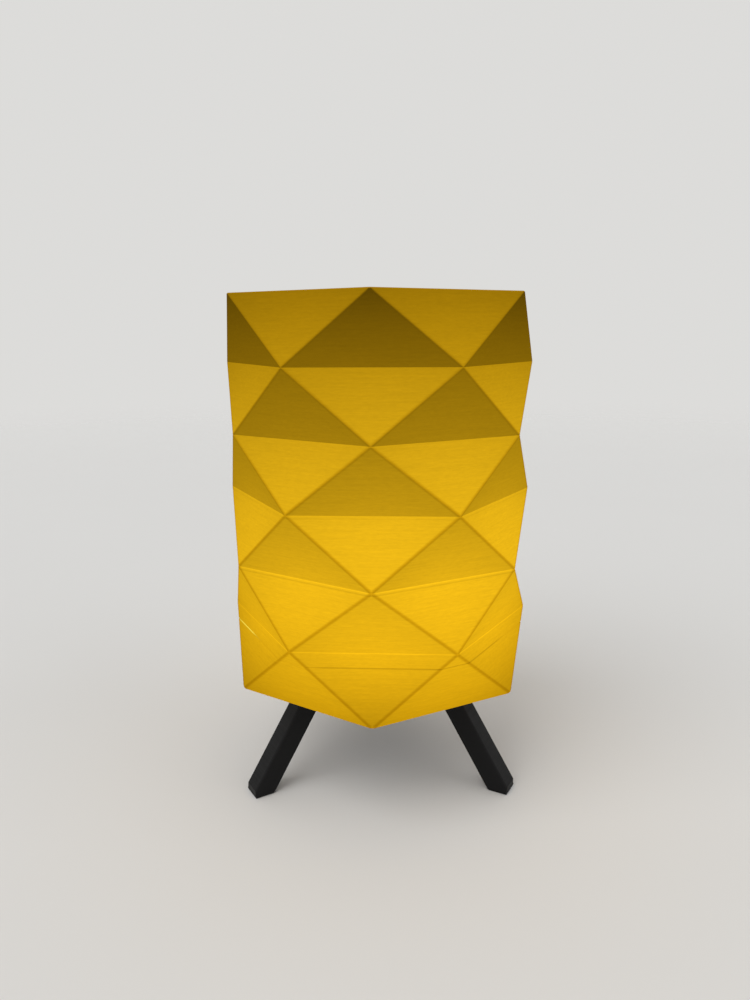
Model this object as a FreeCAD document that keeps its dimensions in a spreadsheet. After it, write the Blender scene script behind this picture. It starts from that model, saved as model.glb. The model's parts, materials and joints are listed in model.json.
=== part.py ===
import FreeCAD, Part
import Sketcher
import math
import os
import re

# Tealight table lamp: faceted lift-off shade on a shallow tray, splayed legs in a hub, battery tealight.
# Millimetres and degrees. The floor is Z = 0, the axis is Z, a corner of the lowest ring points to -Y.

SIZES = {
    "shade_radius": 60.0,        # axis to the corners of every hexagon ring
    "band_height": 25.0,         # one row of triangles
    "shade_wall": 1.2,           # square to the facets
    "seam_drop": 5.0,            # parting line below the second ring
    "lip_height": 4.0,           # tray's lip above the parting line
    "lip_wall": 1.2,
    "lip_gap": 0.3,              # lip to shade
    "floor_thickness": 3.0,      # tray's floor
    "ring_height": 3.0,          # ring round the tealight's foot
    "ring_wall": 1.6,
    "ring_gap": 0.5,             # ring to tealight
    "ring_notch": 16.0,          # finger notches across the ring
    "stand_height": 44.0,        # floor to the tray's foot
    "stand_turn": 3.8,           # stand turned against the shade
    "hub_thickness": 8.0,
    "hub_margin": 2.2,           # hub beyond the legs
    "hub_chamfer": 2.5,
    "leg_depth": 8.6,            # across the leg in its upright plane
    "leg_width": 8.5,
    "leg_splay": 32.6,           # from upright
    "leg_reach": 28.6,           # axis to the leg's middle line at the tray's foot
    "leg_round": 0.9,
    "toe_trim": 2.1,             # cut off the foot's outer corner
    "tenon_depth": 5.6,
    "tenon_width": 5.6,
    "tenon_gap": 0.1,
    "socket_skin": 1.6,          # hub left above the sockets
    "screw_radius": 2.0,
    "screw_head": 2.0,           # head beyond the shank
    "screw_gap": 0.2,
    "screw_sunk": 0.1,           # head below the tray's floor
    "screw_drive": 1.4,          # corner radius of the six-sided drive
    "drive_depth": 1.2,
    "screw_tip": 0.3,            # tip above the hub's underside
    "thread_gap": 0.1,
    "nut_radius": 4.0,           # axis to corner
    "nut_height": 3.2,
    "nut_gap": 0.15,
    "nut_recess": 0.6,           # nut above the hub's underside
    "cell_radius": 10.0,
    "cell_height": 3.2,
    "cap_inset": 1.4,            # cell's cap inside its can
    "cap_step": 0.4,
    "cell_gap": 0.3,             # cell to cover rim
    "cover_rim": 0.7,
    "cover_gap": 0.2,            # cover to bottom plate, sideways
    "cover_play": 0.1,           # cover to its neighbours, upward
    "cover_proud": 0.3,          # cover below the bottom plate
    "cover_turn": 30.0,          # locked to release
    "slot_length": 12.0,         # coin slot
    "slot_width": 1.8,
    "slot_depth": 0.8,
    "tab_reach": 1.2,
    "tab_height": 0.8,
    "tab_angle": 22.0,
    "tab_play": 3.0,             # notch beyond the tab on either side
    "tab_gap": 0.5,              # tab to well
    "well_wall": 1.0,
    "well_rise": 0.6,            # well above the cell
    "switch_lane": 3.5,          # well to cup
    "switch_travel": 2.6,
    "switch_gap": 0.15,
    "knob_length": 2.6,
    "knob_proud": 0.3,
    "slider_length": 6.0,
    "slider_overlap": 0.35,
    "slider_height": 1.0,
    "cup_wall": 1.2,
    "cup_draft": 0.6,
    "cup_land": 1.6,             # flat rim round the dish
    "cup_round": 1.0,
    "cup_dish": 3.0,
    "dish_floor": 2.0,           # flat ring round the flame
    "base_recess": 0.8,          # bottom plate above the cup's foot
    "base_thickness": 1.6,
    "base_ledge": 0.6,
    "base_gap": 0.1,
    "strip_thickness": 0.3,
    "strip_width": 4.0,
    "strip_gap": 0.1,
    "strip_reach": 7.0,          # flat stretch on the cell's cap
    "bridge_rise": 1.4,          # bar above the well
    "bridge_thickness": 1.2,
    "bridge_width": 8.0,
    "bridge_foot": 1.8,
    "led_radius": 2.5,
    "led_flange": 0.4,           # flange beyond the body
    "flange_height": 1.0,
    "led_height": 8.0,
    "lead_radius": 0.3,
    "lead_pitch": 2.54,
    "lead_gap": 0.1,
    "lead_reach": 1.5,           # lead beyond the cell
    "flame_neck": 4.2,           # radius
    "flame_collar": 1.4,         # collar beyond the neck
    "collar_height": 1.7,
    "flame_belly": 1.4,          # belly beyond the neck
    "flame_height": 21.0,        # above the dish
    "flame_tip": 0.7,            # radius
    "flame_waist": 2.1,          # radius between shoulder and tip
    "belly_share": 0.25,         # of the flame's height
    "shoulder_share": 0.5,
    "waist_share": 0.78,
    "flame_gap": 0.1,
    "bore_gap": 0.2,             # flame to the diode's top
}

doc = FreeCAD.newDocument("tealight_lamp")
sheet = doc.addObject("Spreadsheet::Sheet", "Sizes")
for row, (size_name, size) in enumerate(SIZES.items(), start=1):
    sheet.set(f"A{row}", size_name)
    sheet.set(f"B{row}", str(size))
    sheet.setAlias(f"B{row}", size_name)
doc.recompute()

UP = FreeCAD.Vector(0, 0, 1)
parts = []


def cells(text):
    """The expression with every size's name pointed at its cell."""
    return re.sub(r"[a-z_]+", lambda word: f"Sizes.{word[0]}" if word[0] in SIZES else word[0], text)


def number(text):
    """The expression's value now, for a first guess at a sketch."""
    return float(sheet.evalExpression(cells(text)))


def bind(target, **expressions):
    """Ties properties to the sheet; a double underscore stands for a dot."""
    for name, text in expressions.items():
        target.setExpression(name.replace("__", "."), cells(text))
    return target


def add(kind, name, **expressions):
    """A new object whose properties are tied to the sheet."""
    return bind(doc.addObject(kind, name), **expressions)


def spin(target, angle):
    """Turns an object about the axis by an expression."""
    target.Placement = FreeCAD.Placement(target.Placement.Base, FreeCAD.Rotation(UP, 1))
    return bind(target, Placement__Rotation__Angle=angle)


def join(name, *shapes):
    made = doc.addObject("Part::MultiFuse", name)
    made.Shapes = list(shapes)
    return made


def cut(name, base, tool):
    made = doc.addObject("Part::Cut", name)
    made.Base = base
    made.Tool = tool
    return made


def overlap(name, base, tool):
    made = doc.addObject("Part::Common", name)
    made.Base = base
    made.Tool = tool
    return made


def disc(name, radius, base, height):
    return add("Part::Cylinder", name, Radius=radius, Height=height, Placement__Base__z=base)


def wedge(name, radius, base, height, angle, middle):
    """A slice of a disc, spread evenly about its middle direction."""
    slice_of_disc = disc(name, radius, base, height)
    bind(slice_of_disc, Angle=angle)
    return spin(slice_of_disc, f"{middle} - ({angle}) / 2 + 360")


def box(name, x, y, z, length, width, height):
    """A box from its low corner."""
    return add("Part::Box", name, Length=length, Width=width, Height=height,
               Placement__Base__x=x, Placement__Base__y=y, Placement__Base__z=z)


def keep(made, label):
    """Names a finished sub-part."""
    made.Label = label
    parts.append(made)
    return made


# Faceted walls. Each row of triangles is what two opposed six-sided frusta have in common.

STEP_TURN = 30
ROWS = 6
FLAT = "cos(30)"
SLOPE = f"((1 - {FLAT}) * shade_radius / band_height)"
LEVEL = f"sqrt(1 + {SLOPE}^2)"
SHADE_INSET = f"(shade_wall * {LEVEL})"
LIP_INSET = f"({SHADE_INSET} + lip_gap)"
TRAY_INSET = f"({LIP_INSET} + lip_wall * {LEVEL})"
TRAY_FOOT = "stand_height"
TRAY_FLOOR = "(stand_height + floor_thickness)"
SEAM = "(stand_height + band_height - seam_drop)"
LIP_TOP = f"({SEAM} + lip_height)"


def ring_level(row):
    return f"(stand_height + {row} * band_height)"


def flaring(height, row):
    """Axis to the facets that lean outward going up."""
    return f"(shade_radius * {FLAT} + {SLOPE} * ({height} - {ring_level(row)}))"


def tapering(height, row):
    """Axis to the facets that lean inward going up."""
    return f"(shade_radius - {SLOPE} * ({height} - {ring_level(row)}))"


def frustum(name, turn, low, high, low_flat, high_flat):
    """A six-sided frustum from the distances between the axis and its flats."""
    rings = []
    for end, height, flat in (("Low", low, low_flat), ("High", high, high_flat)):
        ring = doc.addObject("Part::RegularPolygon", name + end)
        ring.Polygon = 6
        ring.Placement = FreeCAD.Placement(FreeCAD.Vector(), FreeCAD.Rotation(UP, turn))
        rings.append(bind(ring, Placement__Base__z=height, Circumradius=f"({flat}) / {FLAT}"))
    loft = doc.addObject("Part::Loft", name)
    loft.Sections = rings
    loft.Solid = True
    loft.Ruled = True
    return loft


def facet_row(name, row, low, high, inset, upright=None):
    """One row of triangles between two heights; its flaring facets can stand upright from a height."""
    flare_low = flaring(upright or low, row)
    flare_high = flaring(upright or high, row)
    flare = frustum(name + "Flare", STEP_TURN * (row + 1), low, high,
                    f"{flare_low} - {inset}", f"{flare_high} - {inset}")
    taper = frustum(name + "Taper", STEP_TURN * row, low, high,
                    f"{tapering(low, row)} - {inset}", f"{tapering(high, row)} - {inset}")
    return overlap(name, flare, taper)


def shade_stack(name, inset):
    """The shade's rows from the parting line to the open top."""
    rows = [facet_row(f"{name}0", 0, SEAM, ring_level(1), inset)]
    for row in range(1, ROWS):
        rows.append(facet_row(f"{name}{row}", row, ring_level(row), ring_level(row + 1), inset))
    return join(name, *rows)


keep(cut("Shade", shade_stack("ShadeOuter", "0"), shade_stack("ShadeInner", SHADE_INSET)), "shade")

# Stack of the tealight, from the tray's floor upward and from the cell outward

BASE_FOOT = f"({TRAY_FLOOR} + base_recess)"
BASE_TOP = f"({BASE_FOOT} + base_thickness)"
COVER_FOOT = f"({BASE_FOOT} - cover_proud)"
COVER_TOP = f"({BASE_TOP} + cover_play)"
RIM_TOP = f"({COVER_TOP} + tab_height)"
CELL_FOOT = f"({COVER_TOP} + cover_play)"
CELL_TOP = f"({CELL_FOOT} + cell_height)"
WELL_TOP = f"({CELL_TOP} + well_rise)"
BRIDGE_FOOT = f"({WELL_TOP} + bridge_rise)"
BRIDGE_TOP = f"({BRIDGE_FOOT} + bridge_thickness)"
FLANGE_TOP = f"({BRIDGE_TOP} + flange_height)"
LED_TOP = f"({BRIDGE_TOP} + led_height)"
COLLAR_FOOT = f"({FLANGE_TOP} + flame_gap)"
COLLAR_TOP = f"({COLLAR_FOOT} + collar_height)"
DISH = f"({COLLAR_TOP} + cup_wall)"
CUP_TOP = f"({DISH} + cup_dish)"
RIM_INNER = "(cell_radius + cell_gap)"
COVER_RADIUS = f"({RIM_INNER} + cover_rim)"
TAB_RADIUS = f"({COVER_RADIUS} + tab_reach)"
WELL_INNER = f"({TAB_RADIUS} + tab_gap)"
WELL_OUTER = f"({WELL_INNER} + well_wall)"
CUP_INNER = f"({WELL_OUTER} + switch_lane)"
CUP_TOP_RADIUS = f"({CUP_INNER} + cup_wall)"
CUP_RADIUS = f"({CUP_TOP_RADIUS} + cup_draft)"

# Tray: floor, faceted wall, lip inside the shade, ring for the tealight, countersunk hole.
# The lip's flaring facets stand upright, so the shade lifts off it.

tray_block = join("TrayBlock", facet_row("TrayOuter", 0, TRAY_FOOT, SEAM, "0"),
                  facet_row("LipOuter", 0, SEAM, LIP_TOP, LIP_INSET, upright=SEAM))
tray_hollow = join("TrayHollow", facet_row("TrayInner", 0, TRAY_FLOOR, SEAM, TRAY_INSET),
                   facet_row("LipInner", 0, SEAM, LIP_TOP, TRAY_INSET, upright=SEAM))
tray_shell = cut("TrayShell", tray_block, tray_hollow)

RING_INNER = f"({CUP_RADIUS} + ring_gap)"
RING_OUTER = f"({RING_INNER} + ring_wall)"
ring_tube = cut("RingTube", disc("RingOuter", RING_OUTER, TRAY_FLOOR, "ring_height"),
                disc("RingInner", RING_INNER, TRAY_FLOOR, "ring_height"))
ring_arcs = cut("RingArcs", ring_tube,
                box("RingNotch", f"-{RING_OUTER}", "-ring_notch / 2", TRAY_FLOOR,
                    f"2 * {RING_OUTER}", "ring_notch", "ring_height"))

SCREW_HOLE = "(screw_radius + screw_gap)"
sink = add("Part::Cone", "Countersink", Radius1=SCREW_HOLE, Radius2=f"{SCREW_HOLE} + screw_head",
           Height="screw_head", Placement__Base__z=f"{TRAY_FLOOR} - screw_head")
tray_holes = join("TrayHoles", disc("TrayScrewHole", SCREW_HOLE, TRAY_FOOT, "floor_thickness"), sink)
keep(cut("Tray", join("TrayWithRing", tray_shell, ring_arcs), tray_holes), "tray")


# Sketch-built bodies


def body(name):
    return doc.addObject("PartDesign::Body", name)


def datum(owner, role):
    return next(feature for feature in owner.Origin.OriginFeatures if feature.Role == role)


def sketch_on(owner, name, role, height=None):
    sketch = owner.newObject("Sketcher::SketchObject", name)
    sketch.AttachmentSupport = [(datum(owner, role), "")]
    sketch.MapMode = "FlatFace"
    if height:
        bind(sketch, AttachmentOffset__Base__z=height)
    return sketch


def pin(sketch, edge, end, across, along):
    """Ties one point of a sketch to the sheet in both directions."""
    for kind, text in (("DistanceX", across), ("DistanceY", along)):
        index = sketch.addConstraint(Sketcher.Constraint(kind, -1, 1, edge, end, number(text)))
        sketch.setExpression(f"Constraints[{index}]", cells(text))


def place(corner):
    return FreeCAD.Vector(number(corner[0]), number(corner[1]), 0)


def arc_through(start, middle, end):
    """A counterclockwise arc through three points, and whether it runs from start to end."""
    round_curve = Part.Circle(start, middle, end)
    forward = (middle - start).cross(end - middle).z > 0
    first, last = (start, end) if forward else (end, start)
    spokes = [point - round_curve.Center for point in (first, last)]
    angles = [math.atan2(spoke.y, spoke.x) for spoke in spokes]
    if angles[1] < angles[0]:
        angles[1] += 2 * math.pi
    level_circle = Part.Circle(round_curve.Center, UP, round_curve.Radius)
    return Part.ArcOfCircle(level_circle, *angles), forward


def outline(sketch, corners):
    """A closed outline through corners given as expressions. A corner with two more expressions starts an arc
    that passes through the point they give."""
    ends = []
    for corner, following in zip(corners, corners[1:] + corners[:1]):
        if len(corner) == 4:
            arc, forward = arc_through(place(corner), place(corner[2:]), place(following))
            edge = sketch.addGeometry(arc)
        else:
            edge = sketch.addGeometry(Part.LineSegment(place(corner), place(following)))
            forward = True
        ends.append((edge, 1 if forward else 2, 2 if forward else 1))
    for corner, here, following in zip(corners, ends, ends[1:] + ends[:1]):
        sketch.addConstraint(Sketcher.Constraint("Coincident", here[0], here[2], following[0], following[1]))
        pin(sketch, here[0], here[1], corner[0], corner[1])
        if len(corner) == 4:
            guide = sketch.addGeometry(Part.Point(place(corner[2:])), True)
            pin(sketch, guide, 1, corner[2], corner[3])
            sketch.addConstraint(Sketcher.Constraint("PointOnObject", guide, 1, here[0]))
    return sketch


def circle(sketch, radius):
    edge = sketch.addGeometry(Part.Circle(FreeCAD.Vector(), UP, number(radius)))
    sketch.addConstraint(Sketcher.Constraint("Coincident", edge, 3, -1, 1))
    index = sketch.addConstraint(Sketcher.Constraint("Radius", edge, number(radius)))
    sketch.setExpression(f"Constraints[{index}]", cells(radius))
    return sketch


def six_corners(radius):
    return [(f"{radius} * cos({60 * k})", f"{radius} * sin({60 * k})") for k in range(6)]


def extrude(owner, name, sketch, length, kind="Pad", both_ways=False, reverse=False):
    made = owner.newObject(f"PartDesign::{kind}", name)
    made.Profile = sketch
    made.Reversed = reverse
    if both_ways:
        made.SideType = "Symmetric"
    return bind(made, Length=length)


def turned(owner, name, sketch):
    made = owner.newObject("PartDesign::Revolution", name)
    made.Profile = sketch
    made.ReferenceAxis = (sketch, ["V_Axis"])
    made.Angle = 360
    return made


def soften(owner, name, feature, wanted, size, kind="Fillet"):
    """Rounds or chamfers the edges of a feature that pass a test."""
    doc.recompute()
    edges = [f"Edge{index}" for index, edge in enumerate(feature.Shape.Edges, start=1) if wanted(edge)]
    made = owner.newObject(f"PartDesign::{kind}", name)
    made.Base = (feature, edges)
    made.setExpression("Radius" if kind == "Fillet" else "Size", cells(size))
    return made


TOLERANCE = 1e-4


def at_height(edge, text):
    return abs(edge.BoundBox.ZMin - number(text)) < TOLERANCE and edge.BoundBox.ZLength < TOLERANCE


def runs_lengthwise(edge):
    return edge.BoundBox.YLength < TOLERANCE and edge.BoundBox.ZLength > TOLERANCE


# Stand: hub with three sloping sockets, legs with tenons, one screw and a trapped nut

HUB_FOOT = "(stand_height - hub_thickness)"
SOCKET_TOP = "(stand_height - socket_skin)"
SPREAD = "tan(leg_splay)"
LEG_HALF = "(leg_depth / 2 / cos(leg_splay))"
TENON_HALF = "(tenon_depth / 2 / cos(leg_splay))"
SOCKET_HALF = f"({TENON_HALF} + tenon_gap / cos(leg_splay))"


def leg_line(height):
    """Axis to the leg's middle line at a height."""
    return f"(leg_reach + (stand_height - {height}) * {SPREAD})"


def sloping(low, high, half):
    """A slanted stretch along the leg between two heights."""
    return [(f"{leg_line(low)} - {half}", low), (f"{leg_line(low)} + {half}", low),
            (f"{leg_line(high)} + {half}", high), (f"{leg_line(high)} - {half}", high)]


HUB_RADIUS = f"({leg_line(HUB_FOOT)} + {LEG_HALF} + hub_margin)"
hub = body("Hub")
hub_disc = extrude(hub, "HubDisc", circle(sketch_on(hub, "HubOutline", "XY_Plane", HUB_FOOT), HUB_RADIUS),
                   "hub_thickness")
soften(hub, "HubEdge", hub_disc, lambda edge: at_height(edge, HUB_FOOT), "hub_chamfer", "Chamfer")
extrude(hub, "HubScrewHole", circle(sketch_on(hub, "HubHoleOutline", "XY_Plane", HUB_FOOT), SCREW_HOLE),
        "hub_thickness", "Pocket", reverse=True)
extrude(hub, "NutTrap", outline(sketch_on(hub, "NutTrapOutline", "XY_Plane", HUB_FOOT),
                                six_corners("(nut_radius + nut_gap)")),
        "nut_height + nut_recess", "Pocket", reverse=True)
socket_sketch = outline(sketch_on(hub, "SocketOutline", "XZ_Plane"),
                        sloping(f"({HUB_FOOT} - socket_skin)", SOCKET_TOP, SOCKET_HALF))
socket = extrude(hub, "Socket", socket_sketch, "tenon_width + 2 * tenon_gap", "Pocket", both_ways=True)
sockets = hub.newObject("PartDesign::PolarPattern", "Sockets")
sockets.Originals = [socket]
sockets.Axis = (datum(hub, "Z_Axis"), [""])
sockets.Angle = 360
sockets.Occurrences = 3
hub.Tip = sockets
keep(spin(hub, "stand_turn + 90"), "hub")

LEG_FOOT_OUTER = f"({leg_line('0')} + {LEG_HALF} - toe_trim)"
for leg_name, direction in (("leg_rear", 90), ("leg_front_left", 210), ("leg_front_right", 330)):
    stem = leg_name.title().replace("_", "")
    leg = body(stem)
    leg_sketch = outline(sketch_on(leg, stem + "Outline", "XZ_Plane"),
                         [(f"{leg_line(HUB_FOOT)} - {LEG_HALF}", HUB_FOOT),
                          (f"{leg_line('0')} - {LEG_HALF}", "0"),
                          (LEG_FOOT_OUTER, "0"),
                          (LEG_FOOT_OUTER, f"toe_trim / {SPREAD}"),
                          (f"{leg_line(HUB_FOOT)} + {LEG_HALF}", HUB_FOOT)])
    shaft = extrude(leg, stem + "Shaft", leg_sketch, "leg_width", both_ways=True)
    soften(leg, stem + "Round", shaft, runs_lengthwise, "leg_round")
    tenon_sketch = outline(sketch_on(leg, stem + "TenonOutline", "XZ_Plane"),
                           sloping(HUB_FOOT, f"({SOCKET_TOP} - tenon_gap)", TENON_HALF))
    extrude(leg, stem + "Tenon", tenon_sketch, "tenon_width", both_ways=True)
    keep(spin(leg, f"stand_turn + {direction}"), leg_name)

SCREW_TOP = f"({TRAY_FLOOR} - screw_sunk)"
screw = body("ClampScrew")
screw_sketch = outline(sketch_on(screw, "ScrewOutline", "XZ_Plane"),
                       [("0", SCREW_TOP), ("screw_radius + screw_head", SCREW_TOP),
                        ("screw_radius", f"{SCREW_TOP} - screw_head"),
                        ("screw_radius", f"{HUB_FOOT} + screw_tip"), ("0", f"{HUB_FOOT} + screw_tip")])
turned(screw, "ScrewTurned", screw_sketch)
extrude(screw, "ScrewDrive", outline(sketch_on(screw, "DriveOutline", "XY_Plane", SCREW_TOP),
                                     six_corners("screw_drive")), "drive_depth", "Pocket")
keep(screw, "clamp_screw")

NUT_FOOT = f"({HUB_FOOT} + nut_recess)"
nut_block = add("Part::Prism", "NutBlock", Circumradius="nut_radius", Height="nut_height",
                Placement__Base__z=NUT_FOOT)
nut_block.Polygon = 6
nut = cut("ClampNut", nut_block, disc("NutBore", "screw_radius + thread_gap", NUT_FOOT, "nut_height"))
keep(spin(nut, "stand_turn + 90"), "clamp_nut")

# Tealight: cup, bottom plate, turning cover, cell, strips, bridge, diode with leads, flame, sliding switch

cup = body("TealightCup")
cup_sketch = outline(sketch_on(cup, "CupOutline", "XZ_Plane"),
                     [(CUP_RADIUS, TRAY_FLOOR), (CUP_TOP_RADIUS, CUP_TOP),
                      (f"{CUP_TOP_RADIUS} - cup_land", CUP_TOP),
                      ("flame_neck + dish_floor", DISH), ("flame_neck + flame_gap", DISH),
                      ("flame_neck + flame_gap", COLLAR_TOP), ("flame_neck + dish_floor", COLLAR_TOP),
                      (CUP_INNER, f"{CUP_TOP} - cup_wall"), (CUP_INNER, BASE_TOP),
                      (f"{CUP_INNER} + base_ledge", BASE_TOP), (f"{CUP_INNER} + base_ledge", TRAY_FLOOR)])
cup_turned = turned(cup, "CupTurned", cup_sketch)
LAND_MIDDLE = f"{CUP_TOP_RADIUS} - cup_land / 2"
soften(cup, "CupRound", cup_turned,
       lambda edge: at_height(edge, CUP_TOP) and edge.Curve.Radius > number(LAND_MIDDLE), "cup_round")
keep(cup, "tealight_cup")

SLIDER_INNER = f"({WELL_OUTER} + 2 * switch_gap)"
SLIDER_OUTER = f"sqrt(({CUP_INNER} - switch_gap)^2 - ((slider_length + switch_travel) / 2)^2)"
KNOB_OUTER = f"({SLIDER_OUTER} - slider_overlap)"
KNOB_WIDTH = f"({SLIDER_OUTER} - {SLIDER_INNER} - 2 * slider_overlap)"
KNOB_LEFT = "(-(knob_length + switch_travel) / 2)"

base_disc = disc("BaseDisc", f"{CUP_INNER} + base_ledge - base_gap", BASE_FOOT, "base_thickness")
well = cut("Well", disc("WellOuter", WELL_OUTER, BASE_TOP, f"{WELL_TOP} - {BASE_TOP}"),
           disc("WellInner", WELL_INNER, BASE_TOP, f"{WELL_TOP} - {BASE_TOP}"))
knob_slot = box("KnobSlot", f"{KNOB_LEFT} - switch_gap", f"-({KNOB_OUTER} + switch_gap)", BASE_FOOT,
                "knob_length + switch_travel + 2 * switch_gap", f"{KNOB_WIDTH} + 2 * switch_gap",
                "base_thickness")
base_holes = [disc("CoverHole", f"{COVER_RADIUS} + cover_gap", BASE_FOOT, "base_thickness"), knob_slot]
cover_pieces = [disc("CoverDisc", COVER_RADIUS, COVER_FOOT, f"{COVER_TOP} - {COVER_FOOT}"),
                disc("CoverRim", COVER_RADIUS, COVER_TOP, "tab_height")]
for side in range(3):
    base_holes.append(wedge(f"TabNotch{side}", f"{TAB_RADIUS} + cover_gap", BASE_FOOT, "base_thickness",
                            "tab_angle + 2 * tab_play", f"{120 * side} + cover_turn"))
    cover_pieces.append(wedge(f"Tab{side}", TAB_RADIUS, COVER_TOP, "tab_height",
                              "tab_angle", f"{120 * side}"))
keep(cut("TealightBase", join("BaseBlock", base_disc, well), join("BaseHoles", *base_holes)), "tealight_base")

coin_slot = box("CoinSlot", "-slot_length / 2", "-slot_width / 2", COVER_FOOT,
                "slot_length", "slot_width", "slot_depth")
cover_hollows = join("CoverHollows", coin_slot, disc("CellSeat", RIM_INNER, COVER_TOP, "tab_height"))
keep(cut("BatteryCover", join("CoverBlock", *cover_pieces), cover_hollows), "battery_cover")

keep(join("CoinCell", disc("CellCan", "cell_radius", CELL_FOOT, "cell_height - cap_step"),
          disc("CellCap", "cell_radius - cap_inset", CELL_FOOT, "cell_height")), "coin_cell")

STRIP_LOW = f"({CELL_TOP} + strip_gap)"
STRIP_SIDE = "(cell_radius + strip_gap)"
STRIP_TOP = f"({WELL_TOP} + strip_thickness)"
strip_minus = body("ContactNegative")
minus_sketch = outline(sketch_on(strip_minus, "ContactNegativeOutline", "XZ_Plane"),
                       [("-strip_width / 2", STRIP_LOW), ("strip_reach", STRIP_LOW), (STRIP_SIDE, WELL_TOP),
                        (WELL_OUTER, WELL_TOP), (WELL_OUTER, STRIP_TOP), (STRIP_SIDE, STRIP_TOP),
                        ("strip_reach", f"{STRIP_LOW} + strip_thickness"),
                        ("-strip_width / 2", f"{STRIP_LOW} + strip_thickness")])
extrude(strip_minus, "ContactNegativeStrip", minus_sketch, "strip_width", both_ways=True)
keep(strip_minus, "contact_negative")

strip_plus = body("ContactPositive")
plus_sketch = outline(sketch_on(strip_plus, "ContactPositiveOutline", "XZ_Plane"),
                      [(f"-{STRIP_SIDE}", f"{RIM_TOP} + strip_thickness"), (f"-{STRIP_SIDE}", STRIP_TOP),
                       (f"-{WELL_OUTER}", STRIP_TOP), (f"-{WELL_OUTER}", WELL_TOP),
                       (f"-({STRIP_SIDE} + strip_thickness)", WELL_TOP),
                       (f"-({STRIP_SIDE} + strip_thickness)", f"{RIM_TOP} + strip_thickness")])
extrude(strip_plus, "ContactPositiveStrip", plus_sketch, "strip_width", both_ways=True)
keep(strip_plus, "contact_positive")

bar = box("BridgeBar", "-bridge_width / 2", f"-{WELL_OUTER}", BRIDGE_FOOT,
          "bridge_width", f"2 * {WELL_OUTER}", "bridge_thickness")
feet = []
for end, low in (("Front", f"-{WELL_OUTER}"), ("Back", f"{WELL_OUTER} - bridge_foot")):
    feet.append(box(f"BridgeFoot{end}", "-bridge_width / 2", low, WELL_TOP,
                    "bridge_width", "bridge_foot", "bridge_rise"))
lead_holes = []
for side in (-1, 1):
    hole = disc(f"LeadHole{side + 1}", "lead_radius + lead_gap", BRIDGE_FOOT, "bridge_thickness")
    lead_holes.append(bind(hole, Placement__Base__x=f"{side} * lead_pitch / 2"))
keep(cut("LedBridge", join("BridgeBlock", bar, *feet), join("LeadHoles", *lead_holes)), "led_bridge")

dome = add("Part::Sphere", "LedDome", Radius="led_radius", Placement__Base__z=f"{LED_TOP} - led_radius")
keep(join("Led", disc("LedFlange", "led_radius + led_flange", BRIDGE_TOP, "flange_height"),
          disc("LedBarrel", "led_radius", BRIDGE_TOP, "led_height - led_radius"), dome), "led")

LEAD_LEVEL = f"({STRIP_TOP} + lead_gap + lead_radius)"
LEAD_END = "(cell_radius + lead_reach)"
for lead_name, side in (("lead_positive", -1), ("lead_negative", 1)):
    stem = lead_name.title().replace("_", "")
    start = f"{side} * lead_pitch / 2"
    drop = bind(disc(stem + "Drop", "lead_radius", LEAD_LEVEL, f"{BRIDGE_TOP} - {LEAD_LEVEL}"),
                Placement__Base__x=start)
    corner = add("Part::Sphere", stem + "Corner", Radius="lead_radius",
                 Placement__Base__x=start, Placement__Base__z=LEAD_LEVEL)
    run = doc.addObject("Part::Cylinder", stem + "Run")
    run.Placement = FreeCAD.Placement(FreeCAD.Vector(), FreeCAD.Rotation(FreeCAD.Vector(0, 1, 0), 90 * side))
    bind(run, Radius="lead_radius", Height=f"{LEAD_END} - lead_pitch / 2",
         Placement__Base__x=start, Placement__Base__z=LEAD_LEVEL)
    keep(join(stem, drop, corner, run), lead_name)

BORE = "(led_radius + flame_gap)"
BORE_TOP = f"({LED_TOP} + bore_gap)"
flame = body("FlameLens")
flame_sketch = outline(sketch_on(flame, "FlameOutline", "XZ_Plane"),
                       [(BORE, COLLAR_FOOT), ("flame_neck + flame_collar", COLLAR_FOOT),
                        ("flame_neck + flame_collar", COLLAR_TOP), ("flame_neck", COLLAR_TOP),
                        ("flame_neck", DISH,
                         "flame_neck + flame_belly", f"{DISH} + belly_share * flame_height"),
                        ("flame_neck", f"{DISH} + shoulder_share * flame_height",
                         "flame_waist", f"{DISH} + waist_share * flame_height"),
                        ("flame_tip", f"{DISH} + flame_height"), ("0", f"{DISH} + flame_height"),
                        ("0", BORE_TOP), (BORE, BORE_TOP)])
turned(flame, "FlameTurned", flame_sketch)
keep(flame, "flame_lens")

slider = box("Slider", "-(slider_length + switch_travel) / 2", f"-{SLIDER_OUTER}", f"{BASE_TOP} + cover_play",
             "slider_length", f"{SLIDER_OUTER} - {SLIDER_INNER}", "slider_height")
knob = box("Knob", KNOB_LEFT, f"-{KNOB_OUTER}", f"{BASE_FOOT} - knob_proud",
           "knob_length", KNOB_WIDTH, "base_thickness + knob_proud + cover_play")
keep(join("SwitchSlider", slider, knob), "switch_slider")

# Check and write

doc.recompute()
troubled = [made.Name for made in doc.Objects if {"Invalid", "Error"} & set(made.State)]
if troubled:
    raise RuntimeError(f"objects that did not compute: {troubled}")
os.makedirs("parts", exist_ok=True)
for part in parts:
    if part.Shape.isNull() or not part.Shape.isValid() or not part.Shape.Solids:
        raise RuntimeError(f"{part.Label} has no valid solid")
    part.Shape.exportStep(os.path.join("parts", part.Label + ".step"))
    extent = part.Shape.BoundBox
    print(f"{part.Label}: {len(part.Shape.Solids)} solid, {len(part.Shape.Faces)} faces, "
          f"{part.Shape.Volume:.1f} mm3, z {extent.ZMin:.2f} to {extent.ZMax:.2f}")
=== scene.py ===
import json
import math
import bmesh
import bpy
import numpy as np
from mathutils import Matrix, Vector


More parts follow.
